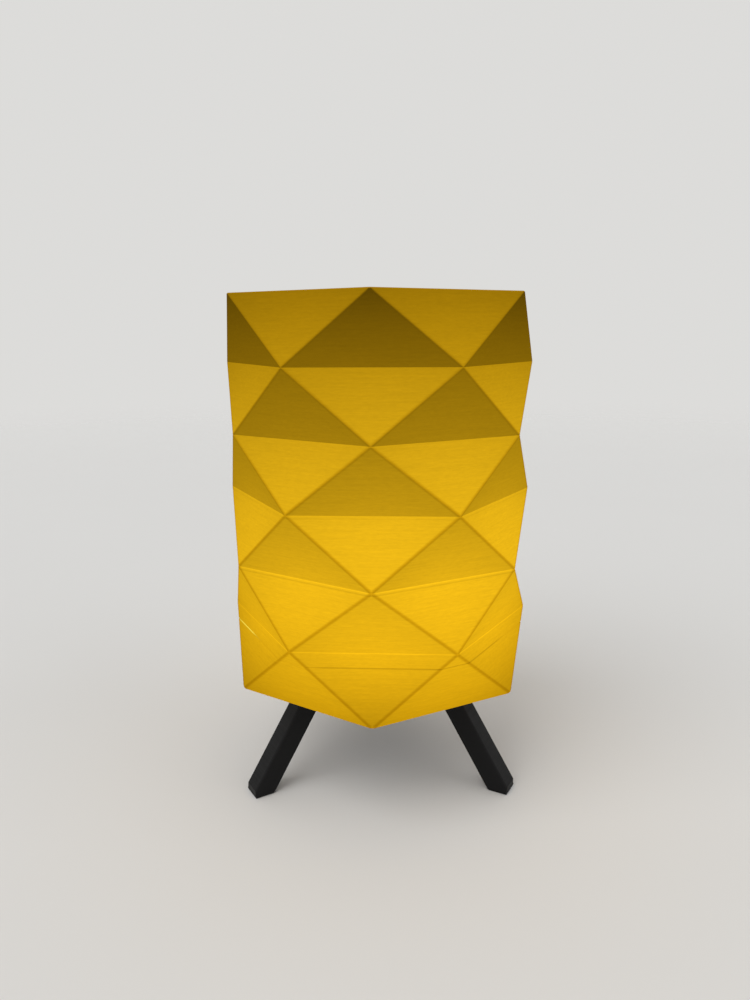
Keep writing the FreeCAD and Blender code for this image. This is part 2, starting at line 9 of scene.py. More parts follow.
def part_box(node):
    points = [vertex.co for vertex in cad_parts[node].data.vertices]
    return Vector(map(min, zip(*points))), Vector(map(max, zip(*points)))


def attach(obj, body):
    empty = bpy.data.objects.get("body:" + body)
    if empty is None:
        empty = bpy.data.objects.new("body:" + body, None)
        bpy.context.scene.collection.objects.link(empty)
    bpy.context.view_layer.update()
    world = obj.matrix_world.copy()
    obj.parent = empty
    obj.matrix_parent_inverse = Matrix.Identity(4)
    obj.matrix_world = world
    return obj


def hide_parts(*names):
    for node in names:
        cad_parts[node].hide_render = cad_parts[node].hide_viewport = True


# Tealight table lamp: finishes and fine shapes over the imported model. Metres, Z up, front is -Y.

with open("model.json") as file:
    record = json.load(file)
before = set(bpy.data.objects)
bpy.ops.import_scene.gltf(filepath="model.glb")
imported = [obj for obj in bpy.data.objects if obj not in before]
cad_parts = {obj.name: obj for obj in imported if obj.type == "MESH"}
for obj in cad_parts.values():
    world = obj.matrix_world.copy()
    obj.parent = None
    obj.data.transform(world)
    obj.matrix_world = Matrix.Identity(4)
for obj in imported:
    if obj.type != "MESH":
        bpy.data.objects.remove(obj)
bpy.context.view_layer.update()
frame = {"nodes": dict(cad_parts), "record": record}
nodes = frame["nodes"]
print("frame loaded:", len(nodes), "nodes")

shadeLow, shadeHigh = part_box("shade")
trayLow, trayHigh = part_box("tray")

lamp = dict(
    sides=6,                # of a ring
    rows=6,                 # rows of triangles from the tray's foot to the mouth
    wall=0.0012,            # square to the facets
    ridgeRound=0.0005,      # softening to either side of a ridge
    ridgeShare=0.35,        # of a facet's width that the softening may take at most
    roundSteps=3,           # columns of points across a softened ridge
    facetSteps=8,           # and across a facet
    roundRidge=2.0,         # degrees that a ridge's columns take to either side on a round ring
    rowShares=(0, 0.015, 0.04, 0.5, 0.96, 0.985),    # where a row has rings of points, closer near its ends
    edgeChamfer=0.0003,     # rims and parting line
    ringBlunt=0.00012,      # taken off the corners of the rings
    footBlunt=0.00040,      # and off the lowest ring's
    mergeWithin=2e-6,
)
ringRadius = shadeHigh.y
footHeight = trayLow.z
mouthHeight = shadeHigh.z
seamHeight = shadeLow.z
rowHeight = (mouthHeight - footHeight) / lamp["rows"]
facetCount = 2 * lamp["sides"]                    # round the axis
facetTurn = 2 * math.pi / facetCount
ringFlat = ringRadius * math.cos(facetTurn)       # from the axis to the middle of a ring's side
facetLean = math.atan((ringRadius - ringFlat) / rowHeight)
facetHeight = rowHeight / math.cos(facetLean)     # along the facet
ridgeSlope = math.atan(facetHeight / (ringRadius / 2))     # between a ridge and a ring, in the facet


# Meshes from grids


def gridFaces(rowCount, columnCount, loopRows, loopColumns):
    # quads between neighbouring rows and columns; a looped direction also joins its last to its first
    row = np.arange(rowCount if loopRows else rowCount - 1)[:, None]
    column = np.arange(columnCount if loopColumns else columnCount - 1)[None, :]
    nextRow = (row + 1) % rowCount
    nextColumn = (column + 1) % columnCount
    corners = [row * columnCount + column, row * columnCount + nextColumn,
               nextRow * columnCount + nextColumn, nextRow * columnCount + column]
    return np.stack(np.broadcast_arrays(*corners), -1).reshape(-1, 4)


def grid(points, loopRows=False, loopColumns=True, **attributes):
    # rows and columns of points, which directions close up, and values for each point
    return dict(points=np.asarray(points, float), loopRows=loopRows, loopColumns=loopColumns,
                attributes=attributes)


def buildPiece(name, grids, body, replaced, material, smooth=False):
    # several grids become one mesh; points that coincide, as at poles and ring corners, are merged
    points, faces, offset = [], [], 0
    for part in grids:
        rowCount, columnCount = part["points"].shape[:2]
        faces.append(gridFaces(rowCount, columnCount, part["loopRows"], part["loopColumns"]) + offset)
        points.append(part["points"].reshape(-1, 3))
        offset += rowCount * columnCount
    points, faces = np.concatenate(points), np.concatenate(faces)
    mesh = bpy.data.meshes.new(name)
    mesh.vertices.add(len(points))
    mesh.vertices.foreach_set("co", points.astype(np.float32).ravel())
    mesh.loops.add(faces.size)
    mesh.loops.foreach_set("vertex_index", faces.astype(np.int32).ravel())
    mesh.polygons.add(len(faces))
    mesh.polygons.foreach_set("loop_start", np.arange(0, faces.size, faces.shape[1], dtype=np.int32))
    mesh.update(calc_edges=True)
    for key in sorted({key for part in grids for key in part["attributes"]}):
        layer = mesh.attributes.new(key, "FLOAT", "POINT")
        values = [np.broadcast_to(part["attributes"].get(key, 0.0), part["points"].shape[:2]).ravel()
                  for part in grids]
        layer.data.foreach_set("value", np.concatenate(values).astype(np.float32))
    work = bmesh.new()
    work.from_mesh(mesh)
    bmesh.ops.remove_doubles(work, verts=work.verts, dist=lamp["mergeWithin"])
    bmesh.ops.dissolve_degenerate(work, edges=work.edges, dist=lamp["mergeWithin"])
    work.to_mesh(mesh)
    work.free()
    mesh.polygons.foreach_set("use_smooth", np.full(len(mesh.polygons), smooth))
    piece = bpy.data.objects.new(name, mesh)
    bpy.context.scene.collection.objects.link(piece)
    mesh.materials.append(material)
    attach(piece, body)
    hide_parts(*replaced)
    print("piece", name, len(mesh.polygons), "faces")
    return piece


def roundedPath(corners, steps=5):
    # a path through corners (across, height, rounding); a rounded one is a parabola between its two sides
    corners = np.asarray(corners, float)
    path = []
    for index, (across, height, rounding) in enumerate(corners):
        here = np.array([across, height])
        if rounding == 0 or index in (0, len(corners) - 1):
            path.append(here[None])
            continue
        before = corners[index - 1, :2] - here
        after = corners[index + 1, :2] - here
        start = here + before / np.linalg.norm(before) * rounding
        end = here + after / np.linalg.norm(after) * rounding
        share = np.linspace(0, 1, steps + 1)[:, None]
        path.append((1 - share) ** 2 * start + 2 * share * (1 - share) * here + share ** 2 * end)
    return np.concatenate(path)


def around(radius, height, turn=0.0):
    # points from a radius and a height for each row and column, the columns evenly spaced round the axis
    radius, height = np.broadcast_arrays(radius, height)
    angle = turn + np.linspace(0, 2 * np.pi, radius.shape[1], endpoint=False)
    return np.stack([radius * np.cos(angle), radius * np.sin(angle), height], -1)


def turned(path, columns):
    # a path of (radius, height) carried once round the axis
    return around(path[:, :1] + np.zeros(columns), path[:, 1:])


def sixSided(corner, columns):
    # radius of a six-sided outline in each column, with a corner in the first
    angle = np.linspace(0, 2 * np.pi, columns, endpoint=False)
    return corner * math.cos(np.pi / 6) / np.cos(angle % (np.pi / 3) - np.pi / 6)


# Material helpers


def newMaterial(name):
    material = bpy.data.materials.new(name)
    material.use_nodes = True
    return material, material.node_tree, material.node_tree.nodes["Principled BSDF"]


def plug(tree, socket, value):
    if isinstance(value, bpy.types.NodeSocket):
        tree.links.new(value, socket)
    else:
        socket.default_value = value


def addNode(tree, kind, inputs=None, **settings):
    made = tree.nodes.new(kind)
    for key, value in settings.items():
        setattr(made, key, value)
    for key, value in (inputs or {}).items():
        plug(tree, made.inputs[key], value)
    return made


def calc(tree, operation, first, second=0.0):
    return addNode(tree, "ShaderNodeMath", {0: first, 1: second}, operation=operation).outputs[0]


def spread(tree, value, fromLow, fromHigh, toLow, toHigh, smooth=False):
    made = addNode(tree, "ShaderNodeMapRange", {"Value": value, "From Min": fromLow, "From Max": fromHigh,
                                                "To Min": toLow, "To Max": toHigh},
                   interpolation_type="SMOOTHSTEP" if smooth else "LINEAR")
    return made.outputs["Result"]


def blendColors(tree, factor, first, second, mode="MIX"):
    # inputs 6 and 7 and output 2 are the node's colour sockets
    return addNode(tree, "ShaderNodeMix", {0: factor, 6: first, 7: second},
                   data_type="RGBA", blend_type=mode).outputs[2]


def timesColor(tree, first, second):
    return blendColors(tree, 1.0, first, second, "MULTIPLY")


def grey(tree, value):
    return addNode(tree, "ShaderNodeCombineColor", {0: value, 1: value, 2: value}).outputs[0]


def vectorCalc(tree, operation, first, second=(0.0, 0.0, 0.0)):
    made = addNode(tree, "ShaderNodeVectorMath", {0: first, 1: second}, operation=operation)
    return made.outputs["Value" if operation in ("LENGTH", "DOT_PRODUCT") else "Vector"]


def attribute(tree, name):
    return addNode(tree, "ShaderNodeAttribute", attribute_name=name).outputs["Fac"]


def objectCoords(tree):
    return addNode(tree, "ShaderNodeTexCoord").outputs["Object"]


def axisOf(tree, vector, name):
    return addNode(tree, "ShaderNodeSeparateXYZ", {0: vector}).outputs[name]


def faceNormal(tree):
    return addNode(tree, "ShaderNodeNewGeometry").outputs["True Normal"]


grainNoise = dict(
    roughness=0.6,
    passTurn=45.0,            # degrees, of a print's passes over its level faces
    levelFrom=(0.7, 0.9),     # upward part of the normal at which a face begins to count as level, and does
    span=(0.3, 0.7),          # most of a noise's values lie between these
)


def streaks(tree, scale, turn=0.0, detail=4.0):
    # noise drawn out by a scale for each axis, after a turn about the upright one
    stretched = addNode(tree, "ShaderNodeMapping", {"Vector": objectCoords(tree), "Scale": scale,
                                                    "Rotation": (0, 0, turn)})
    noise = addNode(tree, "ShaderNodeTexNoise", {"Vector": stretched.outputs[0], "Scale": 1.0,
                                                 "Detail": detail, "Roughness": grainNoise["roughness"]})
    return noise.outputs["Fac"]


def layers(tree, along, crosswise, detail=4.0):
    # what a print leaves: level streaks on walls, slanting passes on level faces
    onWalls = streaks(tree, (along, along, crosswise), 0.0, detail)
    onFaces = streaks(tree, (along, crosswise, along), math.radians(grainNoise["passTurn"]), detail)
    upright = calc(tree, "ABSOLUTE", axisOf(tree, faceNormal(tree), "Z"))
    level = spread(tree, upright, *grainNoise["levelFrom"], 0.0, 1.0)
    return calc(tree, "ADD", onWalls, calc(tree, "MULTIPLY", level, calc(tree, "SUBTRACT", onFaces, onWalls)))


def cloud(tree, scale, detail=3.0):
    noise = addNode(tree, "ShaderNodeTexNoise", {"Vector": objectCoords(tree), "Scale": scale,
                                                 "Detail": detail})
    return noise.outputs["Fac"]


def rgba(color):
    return (*color, 1.0)


def addColor(tree, shader, noise, first, second, socket="Base Color"):
    tree.links.new(blendColors(tree, noise, rgba(first), rgba(second)), shader.inputs[socket])


def addRoughness(tree, shader, noise, low, high):
    tree.links.new(spread(tree, noise, *grainNoise["span"], low, high), shader.inputs["Roughness"])


def addBump(tree, shader, height, strength, distance):
    bump = addNode(tree, "ShaderNodeBump", {"Height": height, "Strength": strength, "Distance": distance})
    tree.links.new(bump.outputs[0], shader.inputs["Normal"])


# Amber print: translucent plastic, with the tealight's light coming through it painted on as emission

amberPrint = dict(
    # the plastic's own colour, kept dark so that the painted light through the wall sets the look
    base=(0.095, 0.052, 0.0015),
    light=(1.0, 0.572, 0.010),           # colour of the light that comes through, halfway up
    endLight=(1.0, 0.530, 0.004),        # and at the foot and the mouth
    insideLight=(1.0, 0.605, 0.032),     # lit inner wall
    insideLevel=(0.42, 1.02),            # inner wall where no light falls on it, and where most does
    brightSide=-65.0, sideGain=0.18,     # degrees; the front right is lit a little more than the back left
    # painted shade: glow and base colour darkened along the ridges, where the thicker wall lets less light
    # through
    ridgeShade=(0.71, 0.65, 0.38), ridgeWidth=0.00112,
    ridgeFade=(0.110, 0.195), ridgeAtMouth=0.22,            # heights between which the ridges' painted shade fades, and how far
    valleyBright=1.23, valleyWidth=0.0004, valleyFade=(0.095, 0.135),       # painted bright line of light along the low rings
    shadowDark=0.83, shadowBelow=0.0010, shadowWidth=0.00045,               # painted thin shadow line under a ring
    shadowFrom=(0.073, 0.087),
    seamDark=0.72, seamWidth=0.00038,
    leak=(1.0, 0.84, 0.10),
    streaks=(60.0, 1500.0), dashes=(420.0, 2000.0, 2.0),    # along and across, per metre, and detail
    streakSpan=(0.25, 0.75), streakDepth=0.22,
    pale=1.25,                                              # the plastic's paler grain, against its base
    roughness=(0.55, 0.70), gloss=0.0, bump=(0.35, 0.00012),
)

tealightGlow = dict(
    height=0.0666,           # of the light, in the flame
    reach=0.056,             # distance at which it lights a wall by one
    slantPower=1.5,          # a wall that stands aslant lets less through
    upward=1.1,              # how much more it shines up than level
    bounce=0.137,            # from the other walls, halfway up the shade
    gain=1.554, limit=1.487,     # the brightest comes near the first divided by the second
)


def facetNormal(tree):
    # outward from the surface, but never steeper than a facet, so that bevelled edges count as part of one
    axes = addNode(tree, "ShaderNodeSeparateXYZ", {0: faceNormal(tree)}).outputs
    steepest = math.sin(facetLean)
    tilt = calc(tree, "MINIMUM", calc(tree, "MAXIMUM", axes["Z"], -steepest), steepest)
    tilted = addNode(tree, "ShaderNodeCombineXYZ", {"X": axes["X"], "Y": axes["Y"], "Z": tilt})
    return vectorCalc(tree, "NORMALIZE", tilted.outputs[0])


def lightOnWall(tree, coords, height, inward, midway):
    # A point of light: it falls with the square of the distance and with the slant, and is stronger upwards.
    # What the other walls send back is added. Dividing the sum by one more than a multiple of itself keeps
    # the brightest in range.
    glow = tealightGlow
    toLight = vectorCalc(tree, "SUBTRACT", (0.0, 0.0, glow["height"]), coords)
    distance = vectorCalc(tree, "LENGTH", toLight)
    slant = calc(tree, "DIVIDE", vectorCalc(tree, "DOT_PRODUCT", toLight, inward), distance)
    slant = calc(tree, "POWER", calc(tree, "MAXIMUM", slant, 0.0), glow["slantPower"])
    nearness = calc(tree, "POWER", calc(tree, "DIVIDE", glow["reach"], distance), 2.0)
    rise = calc(tree, "DIVIDE", calc(tree, "SUBTRACT", height, glow["height"]), distance)
    # no painted light falls steeply below the light, which leaves a painted shadow under the tealight on the
    # tray's floor
    lobe = calc(tree, "MAXIMUM", calc(tree, "ADD", calc(tree, "MULTIPLY", rise, glow["upward"]), 1.0), 0.0)
    direct = calc(tree, "MULTIPLY", calc(tree, "MULTIPLY", slant, nearness), lobe)
    total = calc(tree, "ADD", direct, calc(tree, "MULTIPLY", midway, glow["bounce"]))
    share = calc(tree, "ADD", calc(tree, "MULTIPLY", total, glow["limit"]), 1.0)
    return calc(tree, "DIVIDE", calc(tree, "MULTIPLY", total, glow["gain"]), share)


def ringLines(tree, height):
    # along the rings low down: a painted bright line of light in the valley and a thin painted shadow line
    # under it
    look = amberPrint
    brighter, darker = look["valleyBright"] - 1, look["shadowDark"] - 1
    valley = spread(tree, attribute(tree, "valley"), 0.0, look["valleyWidth"], brighter, 0.0, True)
    fromLine = calc(tree, "SUBTRACT", attribute(tree, "underRing"), look["shadowBelow"])
    under = spread(tree, calc(tree, "ABSOLUTE", fromLine), 0.0, look["shadowWidth"], darker, 0.0, True)
    under = calc(tree, "MULTIPLY", under, spread(tree, height, *look["shadowFrom"], 0.0, 1.0))
    lowDown = spread(tree, height, *look["valleyFade"], 1.0, 0.0)
    return calc(tree, "ADD", calc(tree, "MULTIPLY", calc(tree, "ADD", valley, under), lowDown), 1.0)


def makeAmberPrint():
    look = amberPrint
    material, tree, shader = newMaterial("amberPrint")
    coords = objectCoords(tree)
    height = axisOf(tree, coords, "Z")
    inside = attribute(tree, "inside")
    sense = grey(tree, spread(tree, inside, 0.0, 1.0, -1.0, 1.0))
    inward = vectorCalc(tree, "MULTIPLY", facetNormal(tree), sense)
    up = spread(tree, height, footHeight, mouthHeight, 0.0, 1.0)
    ends = calc(tree, "MULTIPLY", up, calc(tree, "SUBTRACT", 1.0, up))
    midway = calc(tree, "MULTIPLY", ends, 4.0)       # 0 at foot and mouth, 1 halfway
    level = lightOnWall(tree, coords, height, inward, midway)
    tint = blendColors(tree, midway, rgba(look["endLight"]), rgba(look["light"]))
    through = timesColor(tree, tint, grey(tree, level))
    insideLevel = spread(tree, level, 0.0, 1.0, *look["insideLevel"])
    innerGlow = timesColor(tree, rgba(look["insideLight"]), grey(tree, insideLevel))
    through = blendColors(tree, inside, through, innerGlow)

    bothGrains = calc(tree, "ADD", layers(tree, *look["streaks"]), layers(tree, *look["dashes"]))
    grain = calc(tree, "MULTIPLY", bothGrains, 0.5)  # their average
    halfDepth = look["streakDepth"] / 2
    grainLight = spread(tree, grain, *look["streakSpan"], 1 - halfDepth, 1 + halfDepth)
    toBright = math.radians(look["brightSide"])
    towards = vectorCalc(tree, "DOT_PRODUCT", coords, (math.cos(toBright), math.sin(toBright), 0.0))
    sideLight = spread(tree, towards, -ringRadius, ringRadius, 1 - look["sideGain"], 1 + look["sideGain"])
    seam = spread(tree, attribute(tree, "seam"), 0.0, look["seamWidth"], look["seamDark"], 1.0, True)
    lines = calc(tree, "MULTIPLY", ringLines(tree, height), seam)
    lines = calc(tree, "MULTIPLY", lines, calc(tree, "MULTIPLY", grainLight, sideLight))

    # painted shade along the ridges, fading towards the mouth
    ridge = spread(tree, attribute(tree, "ridge"), 0.0, look["ridgeWidth"], 1.0, 0.0, True)
    ridge = calc(tree, "MULTIPLY", ridge, spread(tree, height, *look["ridgeFade"], 1.0, look["ridgeAtMouth"]))
    ridgeShade = blendColors(tree, ridge, rgba((1, 1, 1)), rgba(look["ridgeShade"]))
    glow = timesColor(tree, timesColor(tree, through, grey(tree, lines)), ridgeShade)
    glow = blendColors(tree, attribute(tree, "leak"), glow, rgba(look["leak"]))
    tree.links.new(glow, shader.inputs["Emission Color"])
    shader.inputs["Emission Strength"].default_value = 1.0

    pale = [look["pale"] * channel for channel in look["base"]]
    plastic = blendColors(tree, grain, rgba(look["base"]), rgba(pale))
    tree.links.new(timesColor(tree, plastic, ridgeShade), shader.inputs["Base Color"])
    addRoughness(tree, shader, grain, *look["roughness"])
    shader.inputs["Specular IOR Level"].default_value = look["gloss"]
    addBump(tree, shader, grain, *look["bump"])
    return material


amber = makeAmberPrint()
print("amber print ready")

# Faceted shell


def columnPlan():
    # shares across a facet between its softened edges, and across the softened ridge that follows it
    inner = np.linspace(0, 1, lamp["facetSteps"] + 1)
    curve = np.linspace(0, 1, lamp["roundSteps"] + 1)[1:-1]
    return inner, curve


def facetedRings(height, inset, rounding, flareHeight=None):
    # Twelve planes stand evenly round the axis. Their distances swing with height between a ring's corner and
    # its flat, every second one in step; corners lie where neighbours cross and are softened by a parabola.
    # Where a flareHeight is given, the even planes keep the distance they have at that height.
    height = np.asarray(height, float)
    flareHeight = height if flareHeight is None else np.asarray(flareHeight, float)
    inset = np.broadcast_to(inset, height.shape)
    rounding = np.broadcast_to(rounding, height.shape)[:, None]
    swing = ringRadius - ringFlat
    evenReach = ringRadius - swing * np.abs((flareHeight - footHeight) / rowHeight % 2 - 1) - inset
    oddReach = ringFlat + swing * np.abs((height - footHeight) / rowHeight % 2 - 1) - inset
    blunt = np.where(height < footHeight + 2 * lamp["edgeChamfer"], lamp["footBlunt"], lamp["ringBlunt"])
    reach = np.stack([evenReach, oddReach] * lamp["sides"], 1)
    reach = np.minimum(reach, (ringRadius - inset - blunt)[:, None])
    angle = facetTurn * np.arange(facetCount)
    outward = np.stack([np.cos(angle), np.sin(angle)], 1)
    along = np.stack([-np.sin(angle), np.cos(angle)], 1)
    overhang = (np.roll(reach, -1, 1) - reach * math.cos(facetTurn)) / math.sin(facetTurn)
    corner = outward * reach[..., None] + along * overhang[..., None]
    before = np.roll(corner, 1, 1)
    width = np.maximum(((corner - before) * along).sum(-1), 0)
    soft = np.minimum(rounding, lamp["ridgeShare"] * np.minimum(width, np.roll(width, -1, 1)))
    softBefore = np.roll(soft, 1, 1)
    inner, curve = columnPlan()
    first = before + along * softBefore[..., None]
    last = corner - along * soft[..., None]
    flatPart = first[:, :, None] + (last - first)[:, :, None] * inner[:, None]
    follow = corner + np.roll(along, -1, 0) * soft[..., None]
    share = curve[:, None]
    roundPart = ((1 - share) ** 2 * last[:, :, None] + 2 * share * (1 - share) * corner[:, :, None]
                 + share ** 2 * follow[:, :, None])
    between = (width - soft - softBefore)[..., None]
    flatGap = np.minimum(softBefore[..., None] + between * inner, soft[..., None] + between * (1 - inner))
    roundGap = soft[..., None] * np.abs(1 - 2 * curve)
    plan = np.concatenate([flatPart, roundPart], 2).reshape(len(height), -1, 2)
    ridge = np.concatenate([flatGap, roundGap], 2).reshape(len(height), -1) * math.sin(ridgeSlope)
    level = np.broadcast_to(height[:, None, None], (*plan.shape[:2], 1))
    return np.concatenate([plan, level], -1), ridge


def roundRings(radius, height):
    # circles with the same columns as the faceted rings, so that the two can be joined row to row
    inner, curve = columnPlan()
    half = math.radians(lamp["roundRidge"])
    within = np.concatenate([half + (facetTurn - 2 * half) * inner, facetTurn - half + 2 * half * curve])
    angle = (facetTurn * (np.arange(facetCount)[:, None] - 0.5) + within).ravel()
    radius, height = np.asarray(radius, float)[:, None], np.asarray(height, float)[:, None]
    return np.stack([radius * np.cos(angle), radius * np.sin(angle), height + 0 * angle], -1)


def rowLevels(low, high):
    # heights of the rings of points: close together near a row's ends, where ridges run to a point
    levels = (np.arange(lamp["rows"])[:, None] + np.array(lamp["rowShares"])).ravel() * rowHeight + footHeight
    levels = levels[(levels > low + lamp["mergeWithin"]) & (levels < high - lamp["mergeWithin"])]
    return np.concatenate([[low], levels, [high]])


def ringGaps(height):
    # along the facet to the nearest ring, and to the ring above
    share = np.round((height - footHeight) / rowHeight, 6)      # so that a ring's own points lie on it
    gaps = np.abs(share - np.round(share)), np.ceil(share) - share
    return [gap * facetHeight for gap in gaps]


leak = dict(middle=-163.0, halfSpan=14.0, fade=7.0)      # degrees: where light escapes at the parting line
tight = dict(                                            # and where the line closes up
    hides=0.00036,                                       # of the dark line's width
    arcs=(dict(middle=-130.0, halfSpan=22.0, fade=9.0), dict(middle=4.0, halfSpan=36.0, fade=14.0)),
)


def arcShare(points, arc):
    # 1 within an arc round the axis, falling to 0 over its fade at either end
    angle = np.degrees(np.arctan2(points[..., 1], points[..., 0]))
    away = np.abs((angle - arc["middle"] + 180) % 360 - 180)
    return np.clip((arc["halfSpan"] - away) / arc["fade"], 0, 1)


def shellAttributes(points, ridge, inside, seamOpen):
    # distances along the surface from the ridges, rings and parting line, and where light escapes
    height = points[..., 2]
    valley, underRing = ringGaps(height)
    closed = sum(arcShare(points, arc) for arc in tight["arcs"])
    seam = np.abs(height - seamHeight) + tight["hides"] * closed
    return dict(ridge=np.where(inside > 0, lamp["wall"], ridge), seam=np.where(inside > 0, 1.0, seam),
                inside=inside, valley=valley, underRing=underRing, leak=arcShare(points, leak) * seamOpen)


wallInset = lamp["wall"] / math.cos(facetLean)
chamfer = lamp["edgeChamfer"]


def makeShade():
    # faceted rings up the outer wall, over the bevelled mouth and down the inner wall, closed at the foot
    outer = rowLevels(seamHeight + chamfer, mouthHeight - chamfer)
    inner = outer[::-1]
    height = np.concatenate([[seamHeight], outer, [mouthHeight, mouthHeight], inner, [seamHeight]])
    inset = np.concatenate([[chamfer], 0 * outer, [chamfer, wallInset - chamfer], 0 * inner + wallInset,
                            [wallInset - chamfer]])
    isInner = np.concatenate([[0], 0 * outer, [0, 1], 0 * inner + 1, [1]])
    rounding = np.where(isInner > 0, 0.0, lamp["ridgeRound"])
    points, ridge = facetedRings(height, inset, rounding)
    inside = np.broadcast_to(isInner[:, None], ridge.shape)
    seamOpen = np.zeros((len(height), 1))
    seamOpen[[0, -1]] = 1.0                 # the two rings at the parting line
    shell = grid(points, True, **shellAttributes(points, ridge, inside, seamOpen))
    return buildPiece("shadeShell", [shell], "shade", ["shade"], amber)


makeShade()

# Tray: faceted foot with floor, lip and ring for the tealight

tray = dict(
    lipGap=0.0003, lipWall=0.0012,
    floorThickness=0.003,
    holeRadius=0.0022, sinkRadius=0.0042, sinkDepth=0.002,
    ringInner=0.0195, ringOuter=0.0211, ringHeight=0.003, ringNotch=0.016, ringRound=0.0004,
    ringSunk=0.0002, ringSteps=49,
)
lipInset = wallInset + tray["lipGap"]
trayInset = lipInset + tray["lipWall"] / math.cos(facetLean)
trayFloor = footHeight + tray["floorThickness"]
lipTop = trayHigh.z


def ringArc(middle):
    # a rounded section carried round an arc, its ends closed at the section's middle
    low, high = trayFloor - tray["ringSunk"], trayFloor + tray["ringHeight"]
    section = roundedPath([(tray["ringOuter"], low, 0), (tray["ringOuter"], high, tray["ringRound"]),
                           (tray["ringInner"], high, tray["ringRound"]), (tray["ringInner"], low, 0)])
    centre = section.mean(0)
    half = np.pi / 2 - np.arcsin(tray["ringNotch"] / 2 / tray["ringOuter"])
    angle = middle + np.linspace(-half, half, tray["ringSteps"])
    angle = np.concatenate([[angle[0]], angle, [angle[-1]]])
    path = np.broadcast_to(section, (len(angle), *section.shape)).copy()
    path[[0, -1]] = centre
    radius, height = path[::-1, :, 0], path[::-1, :, 1]
    angle = angle[::-1, None]
    points = np.stack([radius * np.cos(angle), radius * np.sin(angle), height], -1)
    return grid(points, inside=1.0, ridge=1.0, valley=1.0, underRing=1.0, seam=1.0)


def makeTray():
    # faceted rings up the outer wall, over the ledge and the lip, down to the floor and in to the screw's
    # sunk hole, closed across the underside; each has a height, a flareHeight, an inset, and 1 if inside
    outer = rowLevels(footHeight + chamfer, seamHeight - chamfer)
    walls = [(footHeight, footHeight, chamfer, 0)]
    walls += [(z, z, 0, 0) for z in outer]
    walls += [(seamHeight, seamHeight, chamfer, 0), (seamHeight, seamHeight, lipInset, 1),
              (lipTop - chamfer, seamHeight, lipInset, 1), (lipTop, seamHeight, lipInset + chamfer, 1),
              (lipTop, seamHeight, trayInset - chamfer, 1), (lipTop - chamfer, seamHeight, trayInset, 1),
              (seamHeight, seamHeight, trayInset, 1), (trayFloor, trayFloor, trayInset, 1)]
    height, flareHeight, inset, isInner = np.array(walls).T
    rounding = np.where(isInner > 0, 0.0, lamp["ridgeRound"])
    points, ridge = facetedRings(height, inset, rounding, flareHeight)
    sink = roundRings([tray["sinkRadius"], tray["holeRadius"], tray["holeRadius"]],
                      [trayFloor, trayFloor - tray["sinkDepth"], footHeight])
    inside = np.concatenate([np.broadcast_to(isInner[:, None], ridge.shape), np.ones(sink.shape[:2])])
    inside[-1] = 0
    seamOpen = np.zeros((len(inside), 1))
    seamOpen[len(outer) + 1] = 1.0          # the ledge's outer edge
    ridge = np.concatenate([ridge, np.ones(sink.shape[:2])])
    points = np.concatenate([points, sink])
    shell = grid(points, True, **shellAttributes(points, ridge, inside, seamOpen))
    return buildPiece("trayShell", [shell, ringArc(np.pi / 2), ringArc(-np.pi / 2)], "stand", ["tray"],
                      amber)


makeTray()

# Black print: hub and legs

blackPrint = dict(
    base=(0.0035, 0.0035, 0.0038), pale=(0.0080, 0.0080, 0.0084),
    layers=(40.0, 2200.0), mottle=260.0, layerShare=0.6,     # layers along and across, per metre
    mixSpan=(0.35, 0.65), roughness=(0.50, 0.66), gloss=0.16, bump=(0.5, 0.00010),
)


def makeBlackPrint():
    look = blackPrint
    material, tree, shader = newMaterial("blackPrint")
    grain = layers(tree, *look["layers"])
    layerPart = calc(tree, "MULTIPLY", grain, look["layerShare"])
    mottlePart = calc(tree, "MULTIPLY", cloud(tree, look["mottle"]), 1 - look["layerShare"])
    mixed = calc(tree, "ADD", layerPart, mottlePart)
    addColor(tree, shader, mixed, look["base"], look["pale"])
    tree.links.new(spread(tree, mixed, *look["mixSpan"], *look["roughness"]), shader.inputs["Roughness"])
    shader.inputs["Specular IOR Level"].default_value = look["gloss"]
    addBump(tree, shader, grain, *look["bump"])
    return material


black = makeBlackPrint()

leg = dict(
    splay=32.6,             # degrees from upright
    depth=0.0086, width=0.0085, rounding=0.0009, roundSteps=5,
    toeTrim=0.0021,         # cut off the outermost edge, upright
    soleRound=0.0005, soleStep=0.3,
    reach=0.0286,           # from the axis to the leg's middle, at the hub's top
    tenonDepth=0.0056, tenonWidth=0.0056, tenonRound=0.0002,
)
standTurn = 3.8             # degrees, of the stand against the shade
legDirections = dict(leg_rear=90, leg_front_left=210, leg_front_right=330)
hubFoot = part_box("hub")[0].z
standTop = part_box("hub")[1].z


